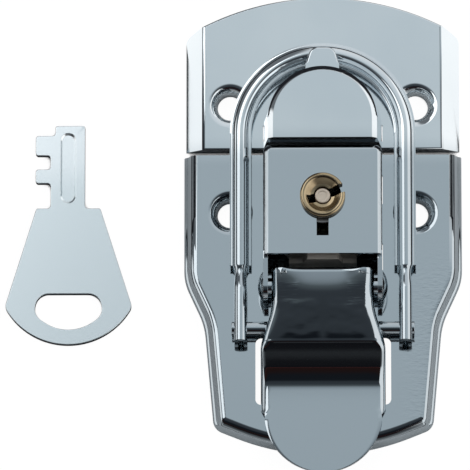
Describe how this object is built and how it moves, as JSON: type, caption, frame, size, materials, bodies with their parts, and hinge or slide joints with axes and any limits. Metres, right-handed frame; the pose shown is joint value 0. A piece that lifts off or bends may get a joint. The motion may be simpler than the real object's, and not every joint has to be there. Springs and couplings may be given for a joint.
{
  "type": "lockable toggle latch",
  "caption": "Lockable over-centre toggle latch: pressed base plate with key lock and lever, hinged wire-form bail, and a keeper plate with a domed catch; one flat key.",
  "frame": {"origin": "middle of the base plate's two screw holes, on the mounting plane", "axes": "+X to the right, +Y from the lever towards the keeper, +Z off the panel"},
  "size_m": [0.0786, 0.0838, 0.014],
  "materials": {
    "plated_steel_plate": "bright plated pressed steel, faint orange peel",
    "plated_steel": "bright plated pressed steel",
    "plated_steel_lever": "bright plated, with drawing marks on the bend",
    "brass_plug": "turned brass, polished",
    "spring_steel": "plain spring steel",
    "bare_steel": "plain pressed steel, dull",
    "key_steel": "satin plated steel"
  },
  "bodies": {
    "root": {"base_plate": "plated_steel_plate", "lock_case": "plated_steel", "ward_bridge": "bare_steel", "bolt_spring": "spring_steel", "spring_rivets": "bare_steel", "pivot_rivets": "plated_steel", "keeper_plate": "plated_steel_plate", "catch_dome": "plated_steel"},
    "lever": {"toggle_lever": "plated_steel_lever", "bail_pin": "plated_steel"},
    "bail": {"bail": "plated_steel"},
    "plug": {"lock_plug": "brass_plug", "plug_clip": "spring_steel"},
    "bolt": {"lock_bolt": "bare_steel"},
    "key": {"key": "key_steel"}
  },
  "joints": [
    {"name": "lever_swing", "type": "hinge", "parent": "root", "child": "lever", "pos_m": [0, -0.0141, 0.0083], "axis": [-1, 0, 0], "range_deg": [0, 100]},
    {"name": "bail_pivot", "type": "hinge", "parent": "lever", "child": "bail", "pos_m": [0, -0.02095, 0.006], "axis": [-1, 0, 0], "range_deg": [-90, 0]},
    {"name": "bolt_throw", "type": "slide", "parent": "root", "child": "bolt", "axis": [0, -1, 0], "range_m": [0, 0.0033]},
    {"name": "plug_turn", "type": "hinge", "parent": "root", "child": "plug", "pos_m": [0, 0.0009, 0.012], "axis": [0, 0, 1], "range_deg": [-108, 0]},
    {"name": "key_lift", "type": "slide", "parent": "root", "child": "key", "axis": [0, 0, 1], "range_m": [0, 0.06]}
  ],
  "couplings": [
    {"joint": "bail_pivot", "follows": "lever_swing", "ratio": -0.875},
    {"joint": "plug_turn", "follows": "bolt_throw", "rad_per_m": -571}
  ]
}
